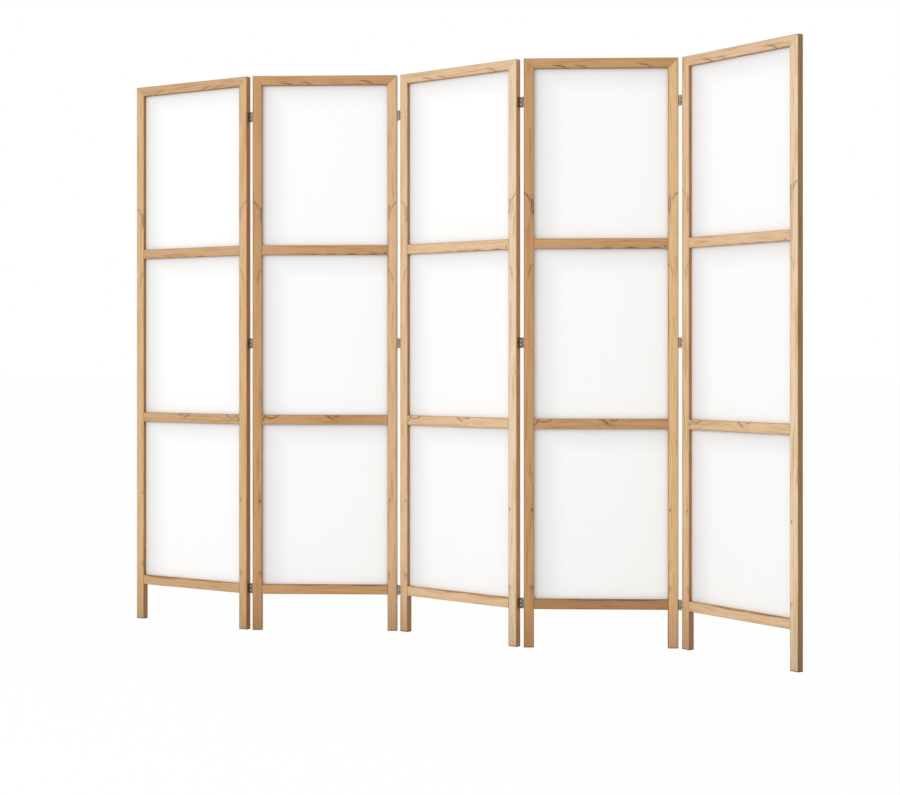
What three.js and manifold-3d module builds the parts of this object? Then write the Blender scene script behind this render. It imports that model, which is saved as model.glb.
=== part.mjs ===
// Accordion folding partition: five tall pine-framed panels, each closed by one sheet of white cloth,
// joined edge to edge by small butt hinges so that the screen folds like an accordion.
// Millimetres. +Z is up, and the front of the screen faces -Y.
import * as THREE from 'three';
import { mergeVertices } from 'three/addons/utils/BufferGeometryUtils.js';
import Module from 'manifold-3d';

// ---- Driving dimensions ----

// One panel, seen from the front.
const PANEL_WIDTH = 450;
const PANEL_HEIGHT = 1720;
const FRAME_DEPTH = 20;
const STILE_WIDTH = 30;
const TOP_RAIL_HEIGHT = 30;
const MIDDLE_RAIL_HEIGHT = 30;
const BOTTOM_RAIL_HEIGHT = 30;
const MIDDLE_RAIL_COUNT = 2;
const LEG_LENGTH = 112;             // clear height under the bottom rail
const ARRIS_RADIUS = 1.5;           // the long edges of every planed lath are eased

// The rebate that the cloth lies in, at the back of the frame.
const SHEET_RECESS = 11;            // from the front face back to the rebate's ledge
const REBATE_WIDTH = 8;
const SHEET_LAP = 7;                // how far the cloth reaches over the ledge
const SHEET_THICKNESS = 1;

// Joinery between rails and stiles.
const TENON_LENGTH = 12;
const TENON_THICKNESS = 6;
const TENON_SHOULDER = 5;           // wood left above and below a tenon
const MITRE_TENON_HEIGHT = 12;      // the tenon hidden in the mitre of the top corner
const JOINT_GAP = 0.3;              // glue line between two wooden pieces, and between cloth and ledge

// Butt hinges, three to a fold.
const BARREL_RADIUS = 4.2;
const HINGE_HEIGHT = 30;
const KNUCKLE_COUNT = 5;            // an odd number: the pin leaf has the outer ones
const KNUCKLE_GAP = 0.3;            // running gap above and below each knuckle
const PIN_RADIUS = 1.8;
const PIN_CLEARANCE = 0.3;
const PIN_HEAD_RADIUS = 2.6;
const PIN_HEAD_HEIGHT = 0.9;
const LEAF_THICKNESS = 1.2;
const LEAF_CORNER_RADIUS = 2;
const LEAF_MARGIN = 2;              // bare wood between the leaf and the far edge of the stile
const LEAF_SEAT_GAP = 0.3;          // between a leaf and the stile that it is screwed to
const AXIS_PROUD = 2;               // how far the hinge axis stands off the face of the frame
const SCREW_HOLE_RADIUS = 1.6;
const COUNTERSINK_RADIUS = 3;
const COUNTERSINK_SHARE = 0.9;      // deepest countersink, as a share of the leaf's thickness
const SCREW_SPACING = 16;           // between the two screws of a leaf
const SCREW_EDGE_DISTANCE = 6;      // from a screw to the long free edge of the leaf
const TOP_HINGE_DROP = 125;         // from the top of the screen to the middle of the top hinge
const MIDDLE_HINGE_RISE = 29;       // middle hinge above the point halfway between the other two

// How far each fold is closed as the screen stands: 0 is a flat wall, 180 lies face to face.
// The first fold points towards the front, the second away from it, and so on in turn.
const STANDING_FOLDS = [29, 37, 37, 52];

// Fineness of the round faces.
const ARRIS_STEPS = 2;
const BARREL_SIDES = 16;
const PIN_SIDES = 10;
const SCREW_HOLE_SIDES = 8;

// ---- Sizes that follow ----

const PANEL_COUNT = STANDING_FOLDS.length + 1;
const PANEL_GAP = 2 * (BARREL_RADIUS + LEAF_SEAT_GAP);
const INNER_WIDTH = PANEL_WIDTH - 2 * STILE_WIDTH;
const FRAMED_HEIGHT = PANEL_HEIGHT - LEG_LENGTH - BOTTOM_RAIL_HEIGHT - TOP_RAIL_HEIGHT;
const OPENING_HEIGHT = (FRAMED_HEIGHT - MIDDLE_RAIL_COUNT * MIDDLE_RAIL_HEIGHT) / (MIDDLE_RAIL_COUNT + 1);
const OPENING_BOTTOM = LEG_LENGTH + BOTTOM_RAIL_HEIGHT;
const LEAF_REACH = AXIS_PROUD + FRAME_DEPTH - LEAF_MARGIN;
const KNUCKLE_PITCH = HINGE_HEIGHT / KNUCKLE_COUNT;
const TOP_HINGE_HEIGHT = PANEL_HEIGHT - TOP_HINGE_DROP;
const BOTTOM_HINGE_HEIGHT = LEG_LENGTH + BOTTOM_RAIL_HEIGHT / 2;
const MIDDLE_HINGE_HEIGHT = (TOP_HINGE_HEIGHT + BOTTOM_HINGE_HEIGHT) / 2 + MIDDLE_HINGE_RISE;
const HINGE_HEIGHTS = { top: TOP_HINGE_HEIGHT, middle: MIDDLE_HINGE_HEIGHT, bottom: BOTTOM_HINGE_HEIGHT };
const PIN_CROWN_RADIUS = PIN_HEAD_RADIUS / 2;
const OVERCUT = 5;                  // cutting bodies reach this far past what they cut
const WELD_DISTANCE = 1e-4;         // corners closer than this are one corner

const X = new THREE.Vector3(1, 0, 0);
const Y = new THREE.Vector3(0, 1, 0);
const Z = new THREE.Vector3(0, 0, 1);

// ---- Materials ----

const pine = new THREE.MeshStandardMaterial({ color: '#cf9f6a', roughness: 0.55, metalness: 0 });
const cloth = new THREE.MeshStandardMaterial({ color: '#f4f4f2', roughness: 0.9, metalness: 0 });
const steel = new THREE.MeshStandardMaterial({ color: '#8d8a86', roughness: 0.35, metalness: 1 });

// ---- Solids ----

const wasm = await Module();
wasm.setup();

/** Turns a closed geometry into a solid that can be joined and cut. */
function solidFrom(geometry) {
  const bare = geometry.clone();
  bare.deleteAttribute('normal');
  bare.deleteAttribute('uv');
  const merged = mergeVertices(bare, WELD_DISTANCE);
  return new wasm.Manifold(new wasm.Mesh({
    numProp: 3,
    vertProperties: new Float32Array(merged.getAttribute('position').array),
    triVerts: new Uint32Array(merged.index.array),
  }));
}

/** Turns a solid back into a flat-shaded geometry. */
function geometryFrom(solid) {
  const { vertProperties, triVerts } = solid.getMesh();
  const geometry = new THREE.BufferGeometry();
  geometry.setAttribute('position', new THREE.BufferAttribute(vertProperties, 3));
  geometry.setIndex(new THREE.BufferAttribute(triVerts, 1));
  const flat = geometry.toNonIndexed();
  flat.computeVertexNormals();
  return flat;
}

/** A box between two corners. */
function boxSolid(low, high) {
  const size = high.map((value, axis) => value - low[axis]);
  const geometry = new THREE.BoxGeometry(...size);
  geometry.translate(...low.map((value, axis) => value + size[axis] / 2));
  return solidFrom(geometry);
}

/** An upright cylinder or cone around a vertical axis. */
function roundSolid(lowRadius, highRadius, low, high, sides) {
  const geometry = new THREE.CylinderGeometry(highRadius, lowRadius, high - low, sides);
  geometry.rotateX(Math.PI / 2);
  geometry.translate(0, 0, (low + high) / 2);
  return solidFrom(geometry);
}

/** A closed outline of corners, each rounded to its own radius. */
function roundedShape(corners) {
  const shape = new THREE.Shape();
  corners.forEach((corner, index) => {
    const point = new THREE.Vector2(corner.x, corner.y);
    const before = corners[(index + corners.length - 1) % corners.length];
    const after = corners[(index + 1) % corners.length];
    const start = new THREE.Vector2(before.x, before.y).sub(point).setLength(corner.radius).add(point);
    const end = new THREE.Vector2(after.x, after.y).sub(point).setLength(corner.radius).add(point);
    if (index === 0) {
      shape.moveTo(start.x, start.y);
    } else {
      shape.lineTo(start.x, start.y);
    }
    if (corner.radius > 0) {
      shape.quadraticCurveTo(point.x, point.y, end.x, end.y);
    }
  });
  shape.closePath();
  return shape;
}

// ---- Wooden laths ----
// A lath is drawn with x across it from its outer edge, y through its depth from the front,
// and z along it, and is then turned into its place in the panel.

/** Section of a lath with the rebate for the cloth cut out of its inner back edge. */
function rebatedSection(width) {
  const eased = ARRIS_RADIUS;
  return roundedShape([
    { x: 0, y: 0, radius: eased },
    { x: width, y: 0, radius: eased },
    { x: width, y: SHEET_RECESS, radius: 0 },
    { x: width - REBATE_WIDTH, y: SHEET_RECESS, radius: 0 },
    { x: width - REBATE_WIDTH, y: FRAME_DEPTH, radius: eased },
    { x: 0, y: FRAME_DEPTH, radius: eased },
  ]);
}

/** Section of a lath with no rebate, all four arrises eased. */
function fullSection(width, depth) {
  return roundedShape([
    { x: 0, y: 0, radius: ARRIS_RADIUS },
    { x: width, y: 0, radius: ARRIS_RADIUS },
    { x: width, y: depth, radius: ARRIS_RADIUS },
    { x: 0, y: depth, radius: ARRIS_RADIUS },
  ]);
}

/** Extrudes a section and turns it so that its width runs along `across`. */
function lath(section, length, across, place) {
  const geometry = new THREE.ExtrudeGeometry(section, {
    depth: length,
    bevelEnabled: false,
    curveSegments: ARRIS_STEPS,
  });
  const along = across.clone().cross(Y);
  geometry.applyMatrix4(new THREE.Matrix4().makeBasis(across, Y, along).setPosition(...place));
  return solidFrom(geometry);
}

/** A tenon at one end of a rail, or with `clearance` the mortise that takes it. */
function tenon(side, innerEnd, outerEnd, low, high, clearance) {
  const front = (SHEET_RECESS - TENON_THICKNESS) / 2 - clearance;
  const back = front + TENON_THICKNESS + 2 * clearance;
  const outer = outerEnd - clearance;
  const left = side === 'left' ? outer : PANEL_WIDTH - innerEnd;
  const right = side === 'left' ? innerEnd : PANEL_WIDTH - outer;
  return boxSolid([left, front, low - clearance], [right, back, high + clearance]);
}

/** Tenon or mortise between a stile and a rail that butts against it. */
function railTenon(side, railBottom, railHeight, clearance) {
  const root = STILE_WIDTH + OVERCUT;
  const low = railBottom + TENON_SHOULDER;
  const high = railBottom + railHeight - TENON_SHOULDER;
  return tenon(side, root, STILE_WIDTH - TENON_LENGTH, low, high, clearance);
}

/** Tenon or mortise hidden in the mitre of a top corner. */
function mitreTenon(side, clearance) {
  const low = PANEL_HEIGHT - TOP_RAIL_HEIGHT + TENON_SHOULDER;
  const high = low + MITRE_TENON_HEIGHT;
  const slope = STILE_WIDTH / TOP_RAIL_HEIGHT;
  // The tip stops halfway between the outer edge and the mitre, so that no end grain shows outside.
  const tip = ((PANEL_HEIGHT - high) * slope) / 2;
  return tenon(side, STILE_WIDTH + OVERCUT, tip, low, high, clearance);
}

/** Everything above (or with `above` false, below) the mitre line of a top corner. */
function mitreHalf(side, above) {
  const direction = new THREE.Vector2(STILE_WIDTH, -TOP_RAIL_HEIGHT).normalize();
  const normal = new THREE.Vector2(-direction.y, direction.x).multiplyScalar(above ? 1 : -1);
  const reach = 2 * (STILE_WIDTH + TOP_RAIL_HEIGHT);
  const start = new THREE.Vector2(0, PANEL_HEIGHT).addScaledVector(normal, -JOINT_GAP / 2);
  const corners = [
    start.clone().addScaledVector(direction, -reach),
    start.clone().addScaledVector(direction, reach),
    start.clone().addScaledVector(direction, reach).addScaledVector(normal, reach),
    start.clone().addScaledVector(direction, -reach).addScaledVector(normal, reach),
  ];
  if (side === 'right') {
    corners.forEach((corner) => corner.setX(PANEL_WIDTH - corner.x));
  }
  const geometry = new THREE.ExtrudeGeometry(new THREE.Shape(corners), {
    depth: FRAME_DEPTH + 2 * OVERCUT,
    bevelEnabled: false,
  });
  geometry.rotateX(Math.PI / 2);
  geometry.translate(0, FRAME_DEPTH + OVERCUT, 0);
  return solidFrom(geometry);
}

/** Lower edge of each middle rail, from the floor up. */
function middleRailBottoms() {
  const bottoms = [];
  for (let index = 0; index < MIDDLE_RAIL_COUNT; index += 1) {
    bottoms.push(OPENING_BOTTOM + OPENING_HEIGHT + index * (OPENING_HEIGHT + MIDDLE_RAIL_HEIGHT));
  }
  return bottoms;
}

/** An upright of the frame: mitred at the top, mortised for the rails, its foot sawn square. */
function stileSolid(side) {
  const across = side === 'left' ? X : X.clone().negate();
  const edge = side === 'left' ? 0 : PANEL_WIDTH;
  const foot = (length) => [edge, 0, side === 'left' ? 0 : length];
  let solid = lath(rebatedSection(STILE_WIDTH), PANEL_HEIGHT, across, foot(PANEL_HEIGHT));
  // The rebate stops level with that of the bottom rail, so the leg keeps its full section.
  const legLength = OPENING_BOTTOM - REBATE_WIDTH;
  solid = solid.add(lath(fullSection(STILE_WIDTH, FRAME_DEPTH), legLength, across, foot(legLength)));
  solid = solid.subtract(mitreHalf(side, true));
  solid = solid.subtract(mitreTenon(side, JOINT_GAP));
  solid = solid.subtract(railTenon(side, LEG_LENGTH, BOTTOM_RAIL_HEIGHT, JOINT_GAP));
  for (const bottom of middleRailBottoms()) {
    solid = solid.subtract(railTenon(side, bottom, MIDDLE_RAIL_HEIGHT, JOINT_GAP));
  }
  return solid;
}

/** The top rail, mitred at both ends. */
function topRailSolid() {
  let solid = lath(rebatedSection(TOP_RAIL_HEIGHT), PANEL_WIDTH, Z.clone().negate(), [0, 0, PANEL_HEIGHT]);
  for (const side of ['left', 'right']) {
    solid = solid.subtract(mitreHalf(side, false));
    solid = solid.add(mitreTenon(side, 0));
  }
  return solid;
}

/** A rail that butts between the stiles and is tenoned into them. */
function buttRailSolid(section, bottom, height) {
  const length = INNER_WIDTH - 2 * JOINT_GAP;
  let solid = lath(section, length, Z, [PANEL_WIDTH - STILE_WIDTH - JOINT_GAP, 0, bottom]);
  for (const side of ['left', 'right']) {
    solid = solid.add(railTenon(side, bottom, height, 0));
  }
  return solid;
}

/** The cloth of one panel, stretched over the ledge of the rebate and behind the middle rails. */
function sheetSolid() {
  const front = SHEET_RECESS + JOINT_GAP;
  return boxSolid(
    [STILE_WIDTH - SHEET_LAP, front, OPENING_BOTTOM - SHEET_LAP],
    [PANEL_WIDTH - STILE_WIDTH + SHEET_LAP, front + SHEET_THICKNESS, PANEL_HEIGHT - TOP_RAIL_HEIGHT + SHEET_LAP],
  );
}

// ---- Butt hinge ----
// Drawn open flat around its own upright axis, for a stile on the left whose front face
// lies AXIS_PROUD behind the axis: the leaf runs back from the barrel along the stile's edge.

/** Heights of the knuckle with this number, its running gap left out. */
function knuckleSpan(index) {
  const low = -HINGE_HEIGHT / 2 + index * KNUCKLE_PITCH;
  return [low, low + KNUCKLE_PITCH];
}

/** The flat plate of a leaf, with rounded free corners. */
function leafPlate() {
  const half = HINGE_HEIGHT / 2;
  const outline = roundedShape([
    { x: 0, y: -half, radius: 0 },
    { x: LEAF_REACH, y: -half, radius: LEAF_CORNER_RADIUS },
    { x: LEAF_REACH, y: half, radius: LEAF_CORNER_RADIUS },
    { x: 0, y: half, radius: 0 },
  ]);
  const geometry = new THREE.ExtrudeGeometry(outline, {
    depth: LEAF_THICKNESS,
    bevelEnabled: false,
    curveSegments: ARRIS_STEPS,
  });
  geometry.applyMatrix4(new THREE.Matrix4().makeBasis(Y, Z, X).setPosition(-BARREL_RADIUS, 0, 0));
  return solidFrom(geometry);
}

/** A countersunk hole through the plate. */
function screwHole(height) {
  const wall = COUNTERSINK_RADIUS - SCREW_HOLE_RADIUS;
  const sink = Math.min(wall, COUNTERSINK_SHARE * LEAF_THICKNESS);
  const top = LEAF_THICKNESS;
  const cone = roundSolid(COUNTERSINK_RADIUS - sink, COUNTERSINK_RADIUS, top - sink, top, SCREW_HOLE_SIDES);
  const rim = roundSolid(COUNTERSINK_RADIUS, COUNTERSINK_RADIUS, top, top + OVERCUT, SCREW_HOLE_SIDES);
  const bore = roundSolid(SCREW_HOLE_RADIUS, SCREW_HOLE_RADIUS, -OVERCUT, top, SCREW_HOLE_SIDES);
  const place = new THREE.Matrix4().makeBasis(Y, Z, X);
  place.setPosition(-BARREL_RADIUS, LEAF_REACH - SCREW_EDGE_DISTANCE, height);
  return cone.add(bore).add(rim).transform(place.elements);
}

/** One leaf: `pinned` has the outer knuckles and the riveted pin, the other has bored knuckles. */
function leafSolid(pinned) {
  let solid = leafPlate();
  for (let index = 0; index < KNUCKLE_COUNT; index += 1) {
    const [low, high] = knuckleSpan(index);
    const own = (index % 2 === 0) === pinned;
    const outerLow = index === 0 ? low : low + KNUCKLE_GAP / 2;
    const outerHigh = index === KNUCKLE_COUNT - 1 ? high : high - KNUCKLE_GAP / 2;
    if (own) {
      solid = solid.add(roundSolid(BARREL_RADIUS, BARREL_RADIUS, outerLow, outerHigh, BARREL_SIDES));
    } else {
      const bottom = index === 0 ? low - OVERCUT : low - KNUCKLE_GAP / 2;
      const top = index === KNUCKLE_COUNT - 1 ? high + OVERCUT : high + KNUCKLE_GAP / 2;
      const reach = BARREL_RADIUS + LEAF_SEAT_GAP;
      solid = solid.subtract(boxSolid([-reach, -reach, bottom], [reach, reach, top]));
    }
  }
  if (pinned) {
    solid = solid.add(pinSolid(0));
  } else {
    solid = solid.subtract(pinSolid(PIN_CLEARANCE));
  }
  for (const height of [-SCREW_SPACING / 2, SCREW_SPACING / 2]) {
    solid = solid.subtract(screwHole(height));
  }
  return solid;
}

/** The pin with its two riveted heads, or with `clearance` the bore around it. */
function pinSolid(clearance) {
  const half = HINGE_HEIGHT / 2;
  const radius = PIN_RADIUS + clearance;
  const shank = roundSolid(radius, radius, -half, half, PIN_SIDES);
  const top = roundSolid(PIN_HEAD_RADIUS, PIN_CROWN_RADIUS, half, half + PIN_HEAD_HEIGHT, PIN_SIDES);
  const foot = roundSolid(PIN_CROWN_RADIUS, PIN_HEAD_RADIUS, -half - PIN_HEAD_HEIGHT, -half, PIN_SIDES);
  return shank.add(top).add(foot);
}

// ---- Assembly ----

/** A fold whose barrels stand at the front closes front to front: the even folds, counted from 1. */
function barrelAtFront(fold) {
  return fold % 2 === 0;
}

/** Where the axis of a fold lies through the depth of the panels that it joins. */
function axisDepth(fold) {
  return barrelAtFront(fold) ? -AXIS_PROUD : FRAME_DEPTH + AXIS_PROUD;
}

/** Adds a named piece to a panel. */
function addMesh(group, name, geometry, material) {
  const mesh = new THREE.Mesh(geometry, material);
  mesh.name = name;
  group.add(mesh);
  return mesh;
}

const stileGeometry = {
  left: geometryFrom(stileSolid('left')),
  right: geometryFrom(stileSolid('right')),
};
const topRailGeometry = geometryFrom(topRailSolid());
const bottomRailGeometry = geometryFrom(
  buttRailSolid(rebatedSection(BOTTOM_RAIL_HEIGHT), LEG_LENGTH, BOTTOM_RAIL_HEIGHT),
);
const middleRailGeometries = middleRailBottoms().map((bottom) => geometryFrom(
  buttRailSolid(fullSection(MIDDLE_RAIL_HEIGHT, SHEET_RECESS), bottom, MIDDLE_RAIL_HEIGHT),
));
const sheetGeometry = geometryFrom(sheetSolid());
const pinLeafGeometry = geometryFrom(leafSolid(true));
const boredLeafGeometry = geometryFrom(leafSolid(false));

/** The frame and cloth of one panel. */
function addFrame(panel, number) {
  const name = `panel_${number}`;
  addMesh(panel, `${name}_stile_left`, stileGeometry.left, pine);
  addMesh(panel, `${name}_stile_right`, stileGeometry.right, pine);
  addMesh(panel, `${name}_rail_top`, topRailGeometry, pine);
  addMesh(panel, `${name}_rail_bottom`, bottomRailGeometry, pine);
  middleRailGeometries.forEach((geometry, index) => {
    addMesh(panel, `${name}_rail_middle_${index + 1}`, geometry, pine);
  });
  addMesh(panel, `${name}_sheet`, sheetGeometry, cloth);
}

/** The leaves of one fold on one panel. A leaf on a right-hand panel is turned about. */
function addLeaves(panel, fold, onLeftPanel) {
  const atFront = barrelAtFront(fold);
  for (const [level, height] of Object.entries(HINGE_HEIGHTS)) {
    const kind = onLeftPanel ? 'pin_leaf' : 'bored_leaf';
    const geometry = onLeftPanel ? pinLeafGeometry : boredLeafGeometry;
    const leaf = addMesh(panel, `hinge_${fold}_${fold + 1}_${level}_${kind}`, geometry, steel);
    const across = onLeftPanel ? PANEL_WIDTH + PANEL_GAP / 2 : -PANEL_GAP / 2;
    leaf.position.set(across, axisDepth(fold), height);
    if (onLeftPanel && !atFront) {
      leaf.rotation.x = Math.PI;
    } else if (!onLeftPanel && atFront) {
      leaf.rotation.y = Math.PI;
    } else if (!onLeftPanel) {
      leaf.rotation.z = Math.PI;
    }
  }
}

/** A point of a panel's plan, turned and moved with the panel. */
function planPoint(panel, across, depth) {
  return new THREE.Vector2(across, depth).rotateAround(new THREE.Vector2(), panel.rotation.z)
    .add(new THREE.Vector2(panel.position.x, panel.position.y));
}

/** Stands the panels in a zigzag, each swung about the hinge axis that it shares with the last. */
function standPanels(screen) {
  const panels = [];
  for (let index = 0; index < PANEL_COUNT; index += 1) {
    const panel = new THREE.Group();
    if (index > 0) {
      const fold = index;
      const last = panels[index - 1];
      const swing = THREE.MathUtils.degToRad(STANDING_FOLDS[index - 1]);
      panel.rotation.z = last.rotation.z + (barrelAtFront(fold) ? -swing : swing);
      const axis = planPoint(last, PANEL_WIDTH + PANEL_GAP / 2, axisDepth(fold));
      const own = planPoint(panel, -PANEL_GAP / 2, axisDepth(fold));
      panel.position.set(axis.x - own.x, axis.y - own.y, 0);
    }
    panels.push(panel);
    screen.add(panel);
  }
  return panels;
}

/** Turns the screen until its two free ends lie on a line along X. */
function alignEnds(screen, panels) {
  const first = planPoint(panels[0], 0, FRAME_DEPTH / 2);
  const last = planPoint(panels[PANEL_COUNT - 1], PANEL_WIDTH, FRAME_DEPTH / 2);
  screen.rotation.z = -last.sub(first).angle();
}

/** Puts the middle of the screen's box over the origin, its feet on the floor. */
function centreOnFloor(screen) {
  screen.updateMatrixWorld(true);
  const box = new THREE.Box3().setFromObject(screen, true);
  const centre = box.getCenter(new THREE.Vector3());
  screen.position.set(-centre.x, -centre.y, -box.min.z);
  screen.updateMatrixWorld(true);
}

const screen = new THREE.Group();
screen.name = 'folding_partition';
const panels = standPanels(screen);
panels.forEach((panel, index) => {
  addFrame(panel, index + 1);
  if (index > 0) {
    addLeaves(panel, index, false);
  }
  if (index < PANEL_COUNT - 1) {
    addLeaves(panel, index + 1, true);
  }
});
alignEnds(screen, panels);
centreOnFloor(screen);

export default screen;
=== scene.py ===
# %% [markdown]
# # Accordion folding partition
# A free-standing screen of five pine frames with white cloth, joined by small butt hinges so that it
# folds like an accordion. The imported model is the frame that everything is built round: its wood and
# its hinges stay and get their finish here, and each plain block of cloth makes way for a real sheet.

import math
import random

import bpy
from mathutils import Matrix, Vector


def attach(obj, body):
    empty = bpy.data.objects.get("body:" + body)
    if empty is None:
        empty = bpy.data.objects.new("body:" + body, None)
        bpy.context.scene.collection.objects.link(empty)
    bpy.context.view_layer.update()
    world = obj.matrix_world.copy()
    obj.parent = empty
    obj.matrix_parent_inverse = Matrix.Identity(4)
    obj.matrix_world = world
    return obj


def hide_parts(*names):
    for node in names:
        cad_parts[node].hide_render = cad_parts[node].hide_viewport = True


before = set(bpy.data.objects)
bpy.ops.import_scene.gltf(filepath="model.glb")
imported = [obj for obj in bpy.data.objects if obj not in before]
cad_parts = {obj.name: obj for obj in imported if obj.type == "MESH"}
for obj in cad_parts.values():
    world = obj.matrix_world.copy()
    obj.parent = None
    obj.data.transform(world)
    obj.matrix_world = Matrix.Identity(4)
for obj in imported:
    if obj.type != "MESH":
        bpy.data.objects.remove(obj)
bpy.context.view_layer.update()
MM = 0.001
PANELS = [1, 2, 3, 4, 5]
print("nodes:", len(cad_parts))

# %% [markdown]
# ## Where each panel stands
# Every panel of the screen is the same, so a staple or a knot is easiest to place in the panel's own
# millimetres: across from its left edge, back from its front face, up from the floor. The feet of its
# two stiles are equal rectangles, so the line between their middles runs exactly along the panel. The
# lowest reading along that line and square to it is the panel's own corner.

# %% Measure the panels' places
PANEL_WIDTH = 450.0
FOOT_BAND = 1 * MM


def corners_of(node):
    """The different corners of a CAD node, which holds each one several times."""
    return {tuple(round(c, 6) for c in v.co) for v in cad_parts[node].data.vertices}


def middle_of_foot(corners):
    """The middle of a stile's corners that stand on the floor."""
    foot = [Vector(corner) for corner in corners if corner[2] < FOOT_BAND]
    return sum(foot, Vector()) / len(foot)


def place_of_panel(number):
    """The matrix from a panel's own metres to the row's."""
    left = corners_of(f"panel_{number}_stile_left")
    right = corners_of(f"panel_{number}_stile_right")
    across = (middle_of_foot(right) - middle_of_foot(left)).normalized()
    back = Vector((-across.y, across.x, 0))
    leftmost = min(Vector(corner).dot(across) for corner in left)
    foremost = min(Vector(corner).dot(back) for corner in left)
    corner = across * leftmost + back * foremost
    return Matrix.Translation(corner) @ Matrix((across, back, (0, 0, 1))).transposed().to_4x4()


PLACES = {number: place_of_panel(number) for number in PANELS}
for number, place in PLACES.items():
    turned = math.degrees(math.atan2(place[1][0], place[0][0]))
    print(f"panel {number}: corner {place[0][3]:.4f}, {place[1][3]:.4f} m, turned {turned:.3f} degrees")

# %% [markdown]
# ## Camera
# The photograph is taken from the right of the screen, level, at about half its height. Focal length,
# place and turn were fitted to the edges of the panels. The horizon lies above the middle of the
# picture, which a view camera does by sliding its back, so that upright laths stay upright: that is
# the small vertical shift.

# %% Camera
FILM_WIDTH, FOCAL_LENGTH = 36, 67.75
BACK_SLIDE = -0.0495
CAMERA_PLACE, CAMERA_TURN = (2.2145, -4.6063, 0.860), 25.7348
NEAREST, FARTHEST = 0.05, 300
camera_data = bpy.data.cameras.new("camera")
camera = bpy.data.objects.new("camera", camera_data)
bpy.context.scene.collection.objects.link(camera)
bpy.context.scene.camera = camera
camera_data.sensor_fit = "HORIZONTAL"
camera_data.sensor_width = FILM_WIDTH
camera_data.lens = FOCAL_LENGTH
camera_data.shift_y = BACK_SLIDE
camera_data.clip_start = NEAREST
camera_data.clip_end = FARTHEST
camera.location = CAMERA_PLACE
camera.rotation_euler = (math.radians(90), 0, math.radians(CAMERA_TURN))
bpy.context.scene.view_settings.view_transform = "Standard"
print("camera:", camera_data.lens, "mm at", tuple(camera.location))

# %% [markdown]
# ## A small kit for materials
# Colours are written as the hex values that a paint chart or a photograph gives. Those are sRGB, and
# the shaders work in linear light, so one function turns the one into the other. One more function
# adds a node: its settings are named, and its inputs are numbers or the outputs of other nodes. Three
# kinds come back so often that each has a short way of its own: a sum, a range of readings turned
# into another, which mostly starts and ends gently, and one colour laid over another.

# %% Colour and node helpers
GENTLY = {"interpolation_type": "SMOOTHSTEP"}


def linear(hex_colour):
    """An sRGB hex colour as linear RGBA."""
    shares = [int(hex_colour[i : i + 2], 16) / 255 for i in (1, 3, 5)]
    return (*[s / 12.92 if s <= 0.04045 else ((s + 0.055) / 1.055) ** 2.4 for s in shares], 1.0)


def add(tree, kind, inputs=None, **settings):
    """Adds one node to a tree, sets it up and fills or links its inputs."""
    made = tree.nodes.new(kind)
    for name, value in settings.items():
        setattr(made, name, value)
    for socket, value in (inputs or {}).items():
        if isinstance(value, bpy.types.NodeSocket):
            tree.links.new(value, made.inputs[socket])
        else:
            made.inputs[socket].default_value = value
    return made


def calc(tree, operation, *values, **settings):
    """The outcome of one Math node."""
    made = add(tree, "ShaderNodeMath", dict(enumerate(values)), operation=operation, **settings)
    return made.outputs[0]


def ranged(tree, value, ends, **settings):
    """A reading turned from one range into another."""
    return add(tree, "ShaderNodeMapRange", {"Value": value, **ends}, **settings).outputs[0]


def laid_over(tree, share, under, over, **settings):
    """A colour with a share of another over it."""
    inputs = {0: share, 6: under, 7: over}
    return add(tree, "ShaderNodeMix", inputs, data_type="RGBA", **settings).outputs[2]


def new_material(name):
    """An empty material with its tree, its Principled shader and its output."""
    material = bpy.data.materials.new(name)
    material.use_nodes = True
    tree = material.node_tree
    tree.nodes.clear()
    shader = add(tree, "ShaderNodeBsdfPrincipled")
    add(tree, "ShaderNodeOutputMaterial", {"Surface": shader.outputs["BSDF"]})
    return material, tree, shader


# %% [markdown]
# ## Floor, backdrop and light
# The studio is white all round. The world is what the camera, the metal and the floor's edge see, so
# it is plain white to them. It lights the wood a little less than that, evenly, and one large soft
# lamp at the upper left front gives the laths their lit and their shaded sides. The floor is painted
# white; for the camera most of that white is its own, so that it runs into the backdrop, and the rest
# is lit, so that the feet keep their soft shadow. Both ask first whether a ray comes from the camera,
# from a reflection or through glass, and one function answers that.

# %% What is seen and what only lights
WHITE = (1, 1, 1, 1)


def seen_or_mirrored(tree):
    """One for rays from the camera, a reflection or glass, and zero for those that carry light."""
    rays = add(tree, "ShaderNodeLightPath").outputs
    seen = rays["Is Camera Ray"]
    for kind in ("Is Glossy Ray", "Is Transmission Ray"):
        seen = calc(tree, "MAXIMUM", seen, rays[kind])
    return seen


# %% White world
AMBIENT = 0.85
world = bpy.data.worlds.new("white_studio")
bpy.context.scene.world = world
world.use_nodes = True
tree = world.node_tree
tree.nodes.clear()
strength = ranged(tree, seen_or_mirrored(tree), {"To Min": AMBIENT, "To Max": 1.0})
glow = add(tree, "ShaderNodeBackground", {"Color": WHITE, "Strength": strength})
add(tree, "ShaderNodeOutputWorld", {"Surface": glow.outputs[0]})
print("world: lights at", AMBIENT, "and is seen at 1")

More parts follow.
